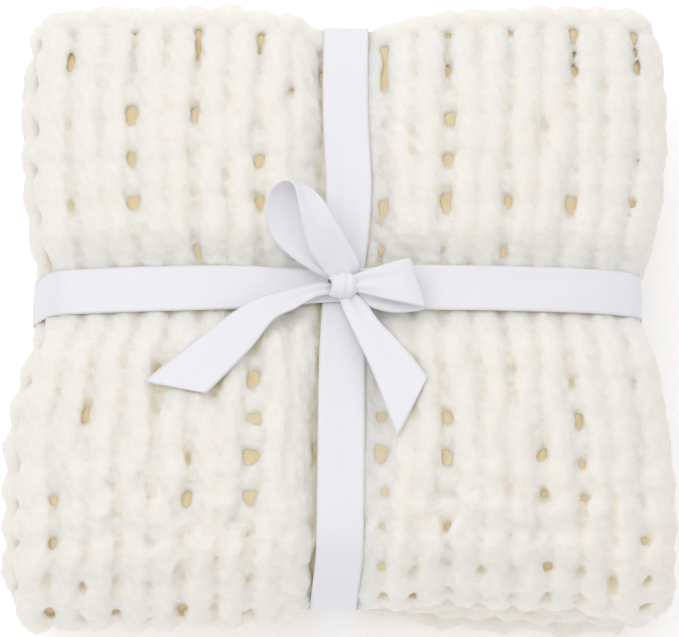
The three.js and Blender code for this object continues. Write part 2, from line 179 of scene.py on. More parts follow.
def alongStack(run):
    # a distance along the cloth: the leaf's middle line, and its own upward direction
    front = (run > levelRun) & (run < middleLeafStart)
    middle = (run >= middleLeafStart) & (run <= middleLeafEnd)
    back = (run > middleLeafEnd) & (run < bottomLeafStart)
    bottom = run >= bottomLeafStart
    leafMiddle = [leafThickness / 2 + leaf * leafStep for leaf in range(3)]
    angle = math.pi * np.where(front, run - levelRun, run - middleLeafEnd) / endRun
    outY, outZ = np.sin(angle), np.cos(angle)
    half = leafStep / 2
    y = np.select(
        [front, middle, back, bottom],
        [-endFoldAt - half * outY, -endFoldAt + run - middleLeafStart,
         endFoldAt + half * outY, endFoldAt - (run - bottomLeafStart)],
        topEdgeAt - run)
    z = np.select(
        [front, middle, back, bottom],
        [leafMiddle[1] + half + half * outZ, leafMiddle[1] + 0 * run,
         leafMiddle[0] + half + half * outZ, leafMiddle[0] + 0 * run],
        leafMiddle[2])
    upY = np.select([front, back], [-outY, -outY], 0.0)
    upZ = np.select([front, middle, back, bottom], [outZ, -1 + 0 * run, -outZ, 1 + 0 * run], 1.0)
    return y, z, upY, upZ


def onCloth(acrossRun, alongRun, out):
    # a point of the flat cloth, out from its middle on the knit side, in the tied bundle
    across, height, faceX, faceZ = acrossLeaf(acrossRun)
    y, z, upY, upZ = alongStack(alongRun)
    x = across + out * faceX
    lift = height + out * faceZ
    return tied(x, y + upY * lift, z + upZ * lift)


def meshObject(name, points, faces):
    mesh = bpy.data.meshes.new(name)
    mesh.from_pydata((np.asarray(points) * mm).tolist(), [], np.asarray(faces).tolist())
    mesh.validate()
    mesh.update()
    piece = bpy.data.objects.new(name, mesh)
    bpy.context.collection.objects.link(piece)
    mesh.polygons.foreach_set("use_smooth", [True] * len(mesh.polygons))
    return piece


# The knit: each course is one long tube of yarn, looped through the course before.
yarn = {
    "waleWidth": 36.0,        # one column of stitches, two legs wide
    "firstHead": 2.5,         # from the side edge to the first loop's middle
    "halfWales": 59,
    "lean": 0.58,             # how far the legs of a loop lean
    "frontLean": 0.8,         # and where the cloth rolls over at the front
    "spread": 0.10,           # how much wider the gap between columns is than the one inside
    "frontSpread": 0.15,
    "gapeWander": 0.42,       # how unevenly the knit gapes from course to course
    "edgeIn": 7.0,            # the edge chain's middle, in from the cloth's own ends
    "edgeRadius": 7.2,
    "loopHalf": 25.0,         # half the height of a loop
    "frontLoopHalf": 22.0,    # shorter loops part where the cloth rolls over
    "depth": 3.0,             # how far legs stand in front of heads
    "broadness": 0.5,         # under 1, legs stay in front for longer
    "radius": 8.4,            # in the plane of the cloth
    "frontRadius": 7.9,       # where the courses are tighter
    "headSwell": 0.2,         # heads are fuller than legs
    "puff": 0.015,            # each course puffs up between its joins
    "frontPuff": 0.17,        # the more so where the cloth rolls over
    "flatRadius": 6.4,        # through the cloth
    "backCourse": 25.5,       # height of a course at the back of the top
    "frontCourse": 21.8,
    "easeAt": 170.0,          # where the courses get tighter
    "easeOver": 30.0,
    "endRoom": 32.0,          # from the cloth's own ends to the first and last course
    "frontFrom": 60.0,        # where the roll's fuller stitches begin, before the level top ends
    "frontOver": 60.0,
    "frontPast": 30.0,
    "lump": 0.4,
    "frontLump": 2.0,
    "lumps": ((17, 0.5), (8, 0.4), (4.5, 0.3)),     # size, share
    # small wanderings, so that no two stitches are alike: size, how often, step from course to course
    "acrossDrift": ((0.08, 0.37, 1.7), (0.06, 0.83, 2.9)),
    "alongDrift": (0.6, 0.61, 2.3),
    "headDrift": (1.7, 1.9, 4.1),
    "plumpDrift": ((0.04, 1.31, 0.9), (0.03, 2.77, 1.3)),
    "puffDrift": (0.8, 0.53, 0.9),
    "edgeSwell": 0.1,         # the edge chain's own unevenness
    "edgeWave": 0.9,
    "edgeDrift": (0.7, 0.71, 0.0),
    "edgeDepth": 0.6,
    "pressedOut": 0.2,        # how far pressed yarn stands out of its ply, and how far it stays within
    "pressedIn": 0.1,
    "fineParts": (40, 16),    # points to a stitch, and round the yarn
    "coarseParts": (24, 12),
    "tipOut": 0.6,            # how far a cut end of yarn is rounded, in thicknesses
    "seed": 7,
}

# Where the knit gapes: across the top, from and to along it, and how far, in stack millimetres.
gapes = [
    (-119, 24, 135, 0.46), (-83, 30, 112, 0.48), (-65, 26, 84, 0.66), (-47, 12, 96, 0.50),
    (-137, 96, 116, 0.56), (-155, 30, 64, 0.38), (-29, 96, 120, 0.54),
    (25, 24, 70, 0.48), (25, 80, 112, 0.30), (61, 22, 128, 0.52), (97, 22, 66, 0.46),
    (133, 26, 66, 0.44), (43, 88, 112, 0.56), (115, 84, 104, 0.54),
    (-155, -120, -92, 0.56), (-173, -140, -118, 0.50), (-137, -80, -18, 0.76), (-119, -96, -28, 0.68),
    (-101, -110, -14, 0.82), (-83, -126, -64, 0.62), (-65, -68, -42, 0.62),
    (-47, -128, -22, 0.85), (-29, -46, -12, 0.74),
    (25, -138, -38, 0.54), (61, -134, -54, 0.58), (79, -54, -22, 0.74),
    (97, -50, -20, 0.50), (115, -146, -74, 0.78), (133, -128, -46, 0.58),
]
gapeEase = 16     # over how long a gape opens and closes


def coursePlaces():
    places = [yarn["endRoom"]]
    while places[-1] < clothLength - yarn["endRoom"] - yarn["frontCourse"] / 2:
        tighter = smooth((places[-1] - yarn["easeAt"]) / yarn["easeOver"])
        step = yarn["backCourse"] + (yarn["frontCourse"] - yarn["backCourse"]) * float(tighter)
        places.append(places[-1] + step)
    places = np.array(places) - yarn["endRoom"]
    return yarn["endRoom"] + places * (clothLength - 2 * yarn["endRoom"]) / places[-1]


def waves(points, seed, size, count=7):
    # a smooth, repeatable unevenness between about -1 and 1
    draw = np.random.default_rng(seed)
    total = np.zeros(points.shape[:-1])
    for _ in range(count):
        way = draw.normal(size=3)
        way /= np.linalg.norm(way)
        length = size * draw.uniform(0.7, 1.5)
        total += np.sin(points @ way * (2 * math.pi / length) + draw.uniform(0, 6.28))
    return total / math.sqrt(count)


def drift(t, course, terms):
    size, often, perCourse = terms
    return size * np.sin(t * often + course * perCourse)


def tubeAlong(path, radius, plump, lumpSize, sides):
    # a closed, slightly lumpy tube of yarn on a line through the flat cloth
    heading = np.gradient(path, axis=0)
    heading /= np.linalg.norm(heading, axis=1, keepdims=True)
    side = np.cross(heading, np.array([0.0, 0.0, 1.0]))
    side /= np.linalg.norm(side, axis=1, keepdims=True)
    up = np.cross(side, heading)
    turn = np.arange(sides) * (2 * math.pi / sides)
    ring = (side[:, None, :] * (np.cos(turn)[None, :, None] * radius)
            + up[:, None, :] * (np.sin(turn)[None, :, None] * yarn["flatRadius"])) * plump[:, None, None]
    flat = path[:, None, :] + ring
    lumps = np.zeros(flat.shape[:-1])
    for i, (size, share) in enumerate(yarn["lumps"]):
        lumps = lumps + waves(flat, yarn["seed"] + i, size) * share
    flat = flat + ring / radius * (lumpSize * lumps)[..., None]
    steps = len(path) - 1
    first = np.arange(steps)[:, None] * sides
    k = np.arange(sides)[None, :]
    nextK = (k + 1) % sides
    corners = [first + k, first + nextK, first + sides + nextK, first + sides + k]
    quads = np.stack(corners, axis=-1).reshape(-1, 4)
    tipOut = yarn["flatRadius"] * yarn["tipOut"]
    points = np.vstack([flat.reshape(-1, 3), path[0] - heading[0] * tipOut, path[-1] + heading[-1] * tipOut])
    startTip, endTip = len(points) - 2, len(points) - 1
    last = steps * sides
    caps = [[startTip, (i + 1) % sides, i] for i in range(sides)]
    caps += [[endTip, last + i, last + (i + 1) % sides] for i in range(sides)]
    return points, quads, np.array(caps)


def yarnTube(place, course, tFrom, tTo, perStitch, sides):
    # one length of a course
    steps = max(2, int(round((tTo - tFrom) / (2 * math.pi) * perStitch)))
    t = np.linspace(tFrom, tTo, steps + 1)
    unit = yarn["waleWidth"] / (2 * math.pi)
    begun = smooth((place - levelRun + yarn["frontFrom"]) / yarn["frontOver"])
    atFront = float(begun * smooth((middleLeafStart + yarn["frontPast"] - place) / yarn["frontPast"]))
    lean = yarn["lean"] + (yarn["frontLean"] - yarn["lean"]) * atFront
    wander = drift(t, course, yarn["acrossDrift"][0]) + drift(t, course, yarn["acrossDrift"][1])
    spread = yarn["spread"] + (yarn["frontSpread"] - yarn["spread"]) * atFront
    shift = t + lean * np.sin(2 * t) - (spread + wander) * np.sin(t)
    if place < levelRun + 20:
        y = topEdgeAt - place
        for gapX, yFrom, yTo, wide in gapes:
            gapT = math.pi * round((gapX + cutSideAt - yarn["firstHead"]) / unit / math.pi)
            away = t - gapT
            opened = smooth((y - yFrom) / gapeEase + 0.5)
            closed = smooth((yTo - y) / gapeEase + 0.5)
            opening = wide * float(opened * closed)
            opening *= 1 + yarn["gapeWander"] * math.sin(course * 2.1 + gapX)
            shift = shift + np.where(np.abs(away) < math.pi, opening * np.sin(away), 0)
    turnOver = np.cos(2 * t)
    head = np.maximum(turnOver, 0)
    across = yarn["firstHead"] + unit * shift
    loopHalf = yarn["loopHalf"] + (yarn["frontLoopHalf"] - yarn["loopHalf"]) * atFront
    along = place - loopHalf * np.cos(t) + drift(t, course, yarn["alongDrift"])
    size, often, perCourse = yarn["headDrift"]
    along = along + size * head * np.sin(t * often + course * perCourse)
    out = -yarn["depth"] * np.sign(turnOver) * np.abs(turnOver) ** yarn["broadness"]
    plump = 1 + drift(t, course, yarn["plumpDrift"][0]) + drift(t, course, yarn["plumpDrift"][1])
    tighter = float(smooth((place - yarn["easeAt"]) / yarn["easeOver"]))
    step = yarn["backCourse"] + (yarn["frontCourse"] - yarn["backCourse"]) * tighter
    phase = 2 * math.pi * (along - place) / step + drift(t, course, yarn["puffDrift"])
    puff = yarn["puff"] + (yarn["frontPuff"] - yarn["puff"]) * atFront
    plump = plump + yarn["headSwell"] * head + puff * np.cos(phase)
    radius = yarn["radius"] + (yarn["frontRadius"] - yarn["radius"]) * tighter
    lumpSize = yarn["lump"] + (yarn["frontLump"] - yarn["lump"]) * atFront
    return tubeAlong(np.stack([across, along, out], axis=-1), radius, plump, lumpSize, sides)


def edgeTube(place, tFrom, tTo, perStitch, sides):
    # the chain that starts or ends the cloth, one link to each half wale
    steps = max(2, int(round((tTo - tFrom) / (2 * math.pi) * perStitch)))
    t = np.linspace(tFrom, tTo, steps + 1)
    across = yarn["firstHead"] + yarn["waleWidth"] / (2 * math.pi) * t
    along = place + yarn["edgeWave"] * np.sin(2 * t) + drift(t, 0, yarn["edgeDrift"])
    path = np.stack([across, along, yarn["edgeDepth"] * np.cos(2 * t)], axis=-1)
    return tubeAlong(path, yarn["edgeRadius"], 1 + yarn["edgeSwell"] * np.cos(2 * t), yarn["lump"], sides)


def pressed(flat):
    # presses the yarn to its ply: level under the ribbons and on the underside, full outside
    across, height, faceX, faceZ = acrossLeaf(flat[:, 0])
    y, z, upY, upZ = alongStack(flat[:, 1])
    out = flat[:, 2]
    crest = yarn["depth"] + yarn["flatRadius"]
    lane = np.maximum(troughAt(across - bundle["laneX"]), troughAt(y - bundle["laneY"]))
    full = halfPly + bundle["ribHeight"] * (1 - lane)
    onTop = (flat[:, 0] < topRun + foldRun) & (flat[:, 1] < middleLeafStart)
    onBack = (flat[:, 0] > middleEnd) & (flat[:, 1] > middleLeafEnd - 20) & (flat[:, 1] < bottomLeafStart)
    atRight = (flat[:, 0] > topRun) & (flat[:, 0] < middleStart)
    atLeft = (flat[:, 0] > middleEnd) & (flat[:, 0] < bottomStart)
    knitSide = np.where(onTop | atRight | atLeft, full, halfPly + yarn["pressedOut"])
    backSide = np.where(onBack, full, halfPly - yarn["pressedIn"])
    return np.where(out > 0, out * knitSide / crest, out * backSide / crest)


coverEnd = middleLeafStart + 16     # how far round the front fold the finely made courses go
tuckedIn = 62.0                     # how far a course is made into the bundle, past what shows
endBand = 60.0                      # at the cloth's own ends the courses are made whole


def stretchesOf(place):
    # which parts of a course can be seen, as spans of t, each with how finely it is made
    whole = (0.0, yarn["halfWales"] * math.pi)
    unit = yarn["waleWidth"] / (2 * math.pi)
    atRun = lambda run: min(whole[1], max(whole[0], (run - yarn["firstHead"]) / unit))
    topShows = place < coverEnd
    bottomShows = place > middleLeafEnd - 30
    endShows = place < endBand or place > clothLength - endBand
    if endShows:
        split = topRun + foldRun + tuckedIn
        spans = [(0, split, True), (split - 10, clothWidth, False)] if topShows else [(0, clothWidth, False)]
    else:
        spans = []
        spans.append((0, topRun + foldRun + tuckedIn, True) if topShows else (0, tuckedIn, False))
        if not topShows:
            spans.append((topRun - tuckedIn, middleStart + tuckedIn, False))
        if bottomShows:
            spans.append((middleEnd - tuckedIn, clothWidth, False))
        else:
            spans.append((middleEnd - tuckedIn, bottomStart + tuckedIn, False))
            spans.append((clothWidth - tuckedIn, clothWidth, False))
    return [(atRun(a), atRun(b), fine) for a, b, fine in spans]


def yarnOf(courses, fineOnly):
    # every visible length of these courses, as one heap of closed tubes
    allPoints, allFaces, count = [], [], 0
    for course in courses:
        for tFrom, tTo, fine in stretchesOf(places[course]):
            if fine != fineOnly:
                continue
            perStitch, sides = yarn["fineParts"] if fine else yarn["coarseParts"]
            lengths = [yarnTube(places[course], course, tFrom, tTo, perStitch, sides)]
            if course == 0:
                lengths.append(edgeTube(yarn["edgeIn"], tFrom, tTo, perStitch, sides))
            if course == courseCount - 1:
                lengths.append(edgeTube(clothLength - yarn["edgeIn"], tFrom, tTo, perStitch, sides))
            for flat, quads, caps in lengths:
                points = onCloth(flat[:, 0], np.clip(flat[:, 1], -8, clothLength + 8), pressed(flat))
                allPoints.append(points)
                allFaces += (quads + count).tolist() + (caps + count).tolist()
                count += len(points)
    return np.vstack(allPoints), allFaces


pile = {
    "fineVoxel": 1.5,
    "coarseVoxel": 2.7,
    "softening": 4,
    "tuftSize": 6.5,
    "tuftHeight": 0.34,
    "nap": 0.2,             # how far single tufts stand out or in
    "offFloor": 0.05,
}


def plushMesh(name, points, faces, voxel):
    # fuses the yarn's lengths into one soft skin and raises the pile on it
    heap = bpy.data.meshes.new("heap")
    heap.from_pydata((points * mm).tolist(), [], faces)
    heapObject = bpy.data.objects.new("heap", heap)
    bpy.context.collection.objects.link(heapObject)
    fuse = heapObject.modifiers.new("fuse", "REMESH")
    fuse.mode = "VOXEL"
    fuse.voxel_size = voxel * mm
    soften = heapObject.modifiers.new("soften", "SMOOTH")
    soften.factor = 0.5
    soften.iterations = pile["softening"]
    graph = bpy.context.evaluated_depsgraph_get()
    mesh = bpy.data.meshes.new_from_object(heapObject.evaluated_get(graph))
    mesh.name = name
    bpy.data.objects.remove(heapObject)
    bpy.data.meshes.remove(heap)
    count = len(mesh.vertices)
    flat, normals = np.empty(count * 3), np.empty(count * 3)
    mesh.vertices.foreach_get("co", flat)
    mesh.vertex_normals.foreach_get("vector", normals)
    place = flat.reshape(-1, 3) / mm
    lift = pile["tuftHeight"] * waves(place, yarn["seed"] + 3, pile["tuftSize"], 12)
    lift = lift + pile["nap"] * np.random.default_rng(yarn["seed"] + 4).uniform(-1, 1, count)
    place = place + normals.reshape(-1, 3) * lift[:, None]
    place[:, 2] = np.maximum(place[:, 2], pile["offFloor"])
    mesh.vertices.foreach_set("co", (place * mm).ravel())
    mesh.polygons.foreach_set("use_smooth", [True] * len(mesh.polygons))
    mesh.update()
    return mesh


def cutPart(mesh, name, cuts):
    # the part of a closed mesh on the wanted side of each plane, closed again where it is cut
    shape = bmesh.new()
    shape.from_mesh(mesh)
    for where, facing in cuts:
        everything = shape.verts[:] + shape.edges[:] + shape.faces[:]
        plane = Vector(where) * mm
        bmesh.ops.bisect_plane(shape, geom=everything, plane_co=plane, plane_no=facing, clear_outer=True)
        rim = [edge for edge in shape.edges if edge.is_boundary]
        bmesh.ops.holes_fill(shape, edges=rim, sides=0)
    part = bpy.data.meshes.new(name)
    shape.to_mesh(part)
    shape.free()
    piece = bpy.data.objects.new(name, part)
    bpy.context.collection.objects.link(piece)
    print(f"{name}: {sum(len(p.vertices) - 2 for p in part.polygons)} triangles")
    return piece


places = coursePlaces()
courseCount = len(places)
coverPoints, coverFaces = yarnOf([i for i in range(courseCount) if places[i] < coverEnd], True)
cover = plushMesh("cover", coverPoints, coverFaces, pile["fineVoxel"])
crossing = np.array([bundle["laneX"], bundle["laneY"], 0.0]) + planShift
toLeft, toRight, toFront, toBack = (-1, 0, 0), (1, 0, 0), (0, -1, 0), (0, 1, 0)
knitPieces = [
    cutPart(cover, "knitBackLeft", [(crossing, toRight), (crossing, toFront)]),
    cutPart(cover, "knitBackRight", [(crossing, toLeft), (crossing, toFront)]),
    cutPart(cover, "knitFrontLeft", [(crossing, toRight), (crossing, toBack)]),
    cutPart(cover, "knitFrontRight", [(crossing, toLeft), (crossing, toBack)]),
]
knitPoints = [coverPoints]
hiddenGroups = {
    "knitTopLeafEdges": (0, coverEnd),
    "knitMiddleLeaf": (coverEnd, bottomLeafStart),
    "knitBottomLeaf": (bottomLeafStart, clothLength),
}
for name, (start, end) in hiddenGroups.items():
    points, faces = yarnOf([i for i in range(courseCount) if start <= places[i] < end], False)
    knitPieces.append(cutPart(plushMesh(name, points, faces, pile["coarseVoxel"]), name, []))
    knitPoints.append(points)
knitPoints = np.vstack(knitPoints) - planShift
print("cloth", round(clothWidth), "by", round(clothLength), "mm,", courseCount, "courses")


# What shows through the holes: the plies beneath, close under the stitches, coloured a tan that is painted
# shade.
under = {
    "halfThickness": 1.6,
    "stepAcross": 9.0,
    "stepAlong": 9.0,
    "inset": 9.0,
    "bump": 0.5,
    "bumpSize": 22,
    "seed": 31,
}


def pliesBeneath():
    across = np.linspace(under["inset"], clothWidth - under["inset"], int(clothWidth / under["stepAcross"]))
    along = np.linspace(under["inset"], clothLength - under["inset"], int(clothLength / under["stepAlong"]))
    gridAlong, gridAcross = np.meshgrid(along, across, indexing="ij")
    rows, columns = gridAcross.shape
    sheets = []
    for side in (1, -1):
        flat = np.stack([gridAcross, gridAlong, 0 * gridAcross], axis=-1)
        bumps = waves(flat, under["seed"], under["bumpSize"])
        out = side * (under["halfThickness"] + under["bump"] * bumps)
        sheets.append(onCloth(gridAcross.ravel(), gridAlong.ravel(), out.ravel()))
    points = np.vstack(sheets)
    i = (np.arange(rows - 1)[:, None] * columns + np.arange(columns - 1)[None, :]).ravel()
    top = np.stack([i, i + 1, i + columns + 1, i + columns], axis=-1)
    half = rows * columns
    faces = top.tolist() + (top[:, ::-1] + half).tolist()
    rim = ([j for j in range(columns)] + [j * columns + columns - 1 for j in range(1, rows)]
           + [(rows - 1) * columns + j for j in range(columns - 2, -1, -1)]
           + [j * columns for j in range(rows - 2, 0, -1)])
    for a, b in zip(rim, rim[1:] + rim[:1]):
        faces.append([b, a, a + half, b + half])
    return meshObject("clothInside", points, faces)


clothInside = pliesBeneath()
print("plies beneath made")


# Ribbon: one length of satin, twice round and tied.
ribbon = {
    "width": 25.5,
    "thickness": 0.35,
    "clearance": 0.6,
    "stepAlong": 3.0,
    "slack": 0.22,
    "bowOut": (2.6, 60.0, 34.0),           # to the right, behind the knot
    "frontSlant": (4.2, -135.0, -178.0),   # to the left, towards the front
    "pointsAcross": 15,
    "gatherBehind": 26.0,                  # how far from the knot each arm is still gathered
    "pleatBehind": 55.0,
    "gatherLeft": 38.0,
    "gatherRight": 24.0,
    "narrowBehind": 0.12,                  # by which share each arm is narrower at the knot
    "narrowLeft": 0.3,
    "narrowRight": 0.25,
    "pleatHeight": 0.9,
    "crosswisePleat": 0.8,
    "levelFrom": 0.7,                      # how level the ribbon lies where it counts as on top
    "knotMiddle": (2.0, 3.5, 129.2),
}
halfRibbon = ribbon["width"] / 2
ribbonReach = halfRibbon + 0.5             # knit within this of its middle holds the ribbon up


def hullOf(points):
    # the corners of the convex outline of points in a plane, anticlockwise
    order = points[np.lexsort((points[:, 1], points[:, 0]))]

    def chain(run):
        kept = []
        for p in run:
            while len(kept) > 1:
                (ox, oy), (qx, qy) = kept[-2], kept[-1]
                if (qx - ox) * (p[1] - oy) - (qy - oy) * (p[0] - ox) > 0:
                    break
                kept.pop()
            kept.append((p[0], p[1]))
        return kept[:-1]

    return np.array(chain(order) + chain(order[::-1]))


def tautLine(points, gap):
    # a ribbon drawn tight round points seen from the side: evenly spaced places and outward directions
    corners = hullOf(points)
    closed = np.vstack([corners, corners[:1]])
    lengths = np.linalg.norm(np.diff(closed, axis=0), axis=1)
    whole = lengths.sum()
    count = int(whole / ribbon["stepAlong"])
    at = np.arange(count) * whole / count
    reached = np.concatenate([[0], np.cumsum(lengths)])
    line = np.stack([np.interp(at, reached, closed[:, i]) for i in range(2)], axis=-1)
    heading = np.roll(line, -1, axis=0) - np.roll(line, 1, axis=0)
    for _ in range(3):
        heading = (np.roll(heading, 1, axis=0) + 2 * heading + np.roll(heading, -1, axis=0)) / 4
    heading /= np.linalg.norm(heading, axis=1, keepdims=True)
    outward = np.stack([heading[:, 1], -heading[:, 0]], axis=-1)
    return line + outward * gap, outward, whole


def stripMesh(name, rows, closed):
    # rows of points across the ribbon, joined to a sheet with its own lengthwise and crosswise map
    count, wide = rows.shape[:2]
    turns = count if closed else count - 1
    faces = []
    for i in range(turns):
        j = (i + 1) % count
        for k in range(wide - 1):
            faces.append([i * wide + k, i * wide + k + 1, j * wide + k + 1, j * wide + k])
    piece = meshObject(name, rows.reshape(-1, 3) + planShift, faces)
    layer = piece.data.uv_layers.new(name="ribbonMap")
    middle = rows[:, wide // 2]
    steps = np.linalg.norm(np.diff(np.vstack([middle, middle[:1]]), axis=0), axis=1)
    reached = np.concatenate([[0], np.cumsum(steps)]) * mm
    places = []
    for i in range(turns):
        for k in range(wide - 1):
            u0, u1 = k / (wide - 1), (k + 1) / (wide - 1)
            places += [(u0, reached[i]), (u1, reached[i]), (u1, reached[i + 1]), (u0, reached[i + 1])]
    layer.data.foreach_set("uv", np.array(places).ravel())
    thick = piece.modifiers.new("thickness", "SOLIDIFY")
    thick.thickness = ribbon["thickness"] * mm
    thick.offset = 0
    return piece


across = np.linspace(-1, 1, ribbon["pointsAcross"])


def lengthwiseRibbon():
    farBehind, behindAt, behindReach = ribbon["bowOut"]
    farAhead, aheadFrom, aheadTo = ribbon["frontSlant"]

    def leanAt(y):
        bowed = farBehind * np.exp(-((y - behindAt) / behindReach) ** 2)
        slant = farAhead * smooth((aheadFrom - y) / (aheadFrom - aheadTo))
        return bundle["laneX"] + bundle["backLean"] * y / halfDepth + bowed - slant

    near = np.abs(knitPoints[:, 0] - leanAt(knitPoints[:, 1])) < ribbonReach
    line, outward, whole = tautLine(knitPoints[near][:, 1:], ribbon["clearance"])
    fromKnot = line[:, 0] - ribbon["knotMiddle"][1]
    onTop = outward[:, 1] > ribbon["levelFrom"]
    gather = np.where(onTop, np.exp(-(fromKnot / ribbon["gatherBehind"]) ** 2), 0)
    backOnly = np.where(onTop & (fromKnot > 0), np.exp(-(fromKnot / ribbon["pleatBehind"]) ** 2), 0)
    rows = []
    for (y, z), (outY, outZ), tight, pleat in zip(line, outward, gather, backOnly):
        w = across * halfRibbon * (1 - ribbon["narrowBehind"] * tight)
        lift = ribbon["slack"] * (np.cos(across * 3 + y * 0.05) + 0.8 * np.sin(y * 0.085 + 1))
        lift = lift + pleat * ribbon["pleatHeight"] * (1 + np.cos(across * 9 - 1.2)) / 2
        rows.append(np.stack([leanAt(y) + w, y + outY * lift, z + outZ * lift], axis=-1))
    return stripMesh("ribbonLengthwise", np.array(rows), True), np.array(rows), whole


def crosswiseRibbon(firstPass):
    near = np.abs(knitPoints[:, 1] - bundle["laneY"]) < ribbonReach
    crossed = firstPass.reshape(-1, 3)
    crossed = crossed[np.abs(crossed[:, 1] - bundle["laneY"]) < ribbonReach]
    around = np.vstack([knitPoints[near], crossed])
    line, outward, whole = tautLine(around[:, [0, 2]], ribbon["clearance"])
    fromKnot = line[:, 0] - ribbon["knotMiddle"][0]
    onTop = outward[:, 1] > ribbon["levelFrom"]
    tightLeft = np.where(onTop & (fromKnot < 0), np.exp(-(fromKnot / ribbon["gatherLeft"]) ** 2), 0)
    tightRight = np.where(onTop & (fromKnot >= 0), np.exp(-(fromKnot / ribbon["gatherRight"]) ** 2), 0)
    rows = []
    for (x, z), (outX, outZ), left, right in zip(line, outward, tightLeft, tightRight):
        w = -across * halfRibbon * (1 - ribbon["narrowLeft"] * left - ribbon["narrowRight"] * right)
        pleat = max(left, right)
        lift = ribbon["slack"] * (np.cos(across * 2.5 + x * 0.04) + 0.8 * np.sin(x * 0.07))
        lift = lift + pleat * ribbon["crosswisePleat"] * (1 + np.cos(across * 8 + 0.6)) / 2
        rows.append(np.stack([x + outX * lift, bundle["laneY"] + w, z + outZ * lift], axis=-1))
    return stripMesh("ribbonCrosswise", np.array(rows), True), whole


ribbonLengthwise, firstPass, lengthwiseRound = lengthwiseRibbon()
ribbonCrosswise, crosswiseRound = crosswiseRibbon(firstPass)
print("ribbon goes round", round(lengthwiseRound), "and", round(crosswiseRound), "mm")

# The bow. Each row is the ribbon's two edges: x, y and the height above the knot's middle.
bow = {
    "backLoop": [
        ((-3, 5.5, 0), (7, 8, 0)),
        ((-9, 11.5, 5), (12, 13.5, 3)),
        ((-15, 18.5, 12), (6, 25.5, 9)),
        ((-18.5, 29, 17), (-2, 37.5, 15)),
        ((-21, 40.5, 21), (-9, 48.5, 15)),
        ((-24.5, 54.5, 22), (-15, 56, 11)),
        ((-32, 56.5, 19), (-17, 58, 6)),
        ((-38.5, 50.5, 12), (-17, 52.5, 5)),
        ((-39, 38.5, 7), (-14.5, 38.5, 3)),
        ((-33, 25.5, 4), (-10, 26.5, 2)),
        ((-17, 13, 2), (-4, 16.5, 0.5)),
        ((-3, 6.5, -1), (3, 9.5, -1)),
    ],
    "rightLoop": [
        ((4, 7.5, 1.5), (6, 1, 1)),
        ((12, 9.8, 5), (13, -1.5, 3)),
        ((25, 13.2, 9), (27, -6, 6)),
        ((35, 16, 9.5), (41, -9, 6)),
        ((39, 16.8, 7), (47.5, -10, 3.5)),
        ((35, 15, 4), (42, -11, 0.5)),
        ((25, 9.5, 1.5), (29, -11.2, -1.2)),
        ((13, 5, 0), (16, -7.5, -2)),
        ((5, 3, -1), (6, -1, -2)),
    ],
    # the free ends lie on the knit, so their rows give the plan alone
    "leftEnd": [
        ((-2, -0.5), (-2, 5.5)),
        ((-12, -2.5), (-12, 5.5)),
        ((-24, -9.5), (-28, 1)),
        ((-35, -15.5), (-45, -4)),
        ((-46, -30), (-61, -14)),
        ((-60, -45.5), (-82, -31)),
        ((-71, -57), (-105, -50)),
    ],
    "rightEnd": [
        ((6, 1.5), (-1, 0.5)),
        ((14, -4.5), (1, -5.5)),
        ((21.5, -15.5), (4.5, -14.5)),
        ((30.5, -25.5), (9.5, -25.5)),
        ((39, -35.5), (15.5, -38.5)),
        ((44, -42), (20.5, -51)),
        ((47.9, -47.5), (31.5, -81)),
    ],
    "endClearance": 1.2,
    "landing": 40.0,        # how far from the knot a free end comes down on the knit
    "onRibs": 1.25,         # how high it lies, in heights of the ribs
    "rowStep": 1.6,
    "pleatRows": 9,         # how many rows the pleats take to die away
    "restPleat": 0.18,      # how much of them stays
    "loopPleats": (0.7, True),
    "endPleats": (0.6, False),     # how deep, and whether the far end is in the knot as well
}


def curveThrough(rows, step):
    # a smooth run through the rows, at even steps
    rows = np.asarray(rows, dtype=float)
    padded = np.vstack([2 * rows[:1] - rows[1:2], rows, 2 * rows[-1:] - rows[-2:-1]])
    run = []
    for a, b, c, d in zip(padded, padded[1:], padded[2:], padded[3:]):
        length = np.linalg.norm(c - b, axis=-1).mean()
        count = max(2, int(round(length / step)))
        for t in np.arange(count) / count:
            run.append(0.5 * (2 * b + (c - a) * t + (2 * a - 5 * b + 4 * c - d) * t ** 2
                              + (3 * b - 3 * c + d - a) * t ** 3))
    run.append(rows[-1])
    return np.array(run)


def bowStrip(name, edges, pleats, often, start):
    # fills in between the two edges, with pleats that start at the knot and die away
    deep, bothEnds = pleats
    count = len(edges)
    middle = edges.mean(axis=1)
    heading = np.gradient(middle, axis=0)
    rows = []
    for i in range(count):
        left, right = edges[i]
        way = np.cross(heading[i], right - left)
        way /= np.linalg.norm(way)
        share = (across[:, None] + 1) / 2
        atKnot = math.exp(-(i / bow["pleatRows"]) ** 2)
        if bothEnds:
            atKnot = max(atKnot, math.exp(-((count - 1 - i) / bow["pleatRows"]) ** 2))
        ripple = deep * (bow["restPleat"] + atKnot) * np.cos(across * often + start + i * 0.02)
        rows.append(left + (right - left) * share + way * ripple[:, None])
    return stripMesh(name, np.array(rows), False)


def loopEdges(table):
    middle = np.array([0, 0, ribbon["knotMiddle"][2]])
    edges = [[np.add(left, middle), np.add(right, middle)] for left, right in table]
    return curveThrough(edges, bow["rowStep"])


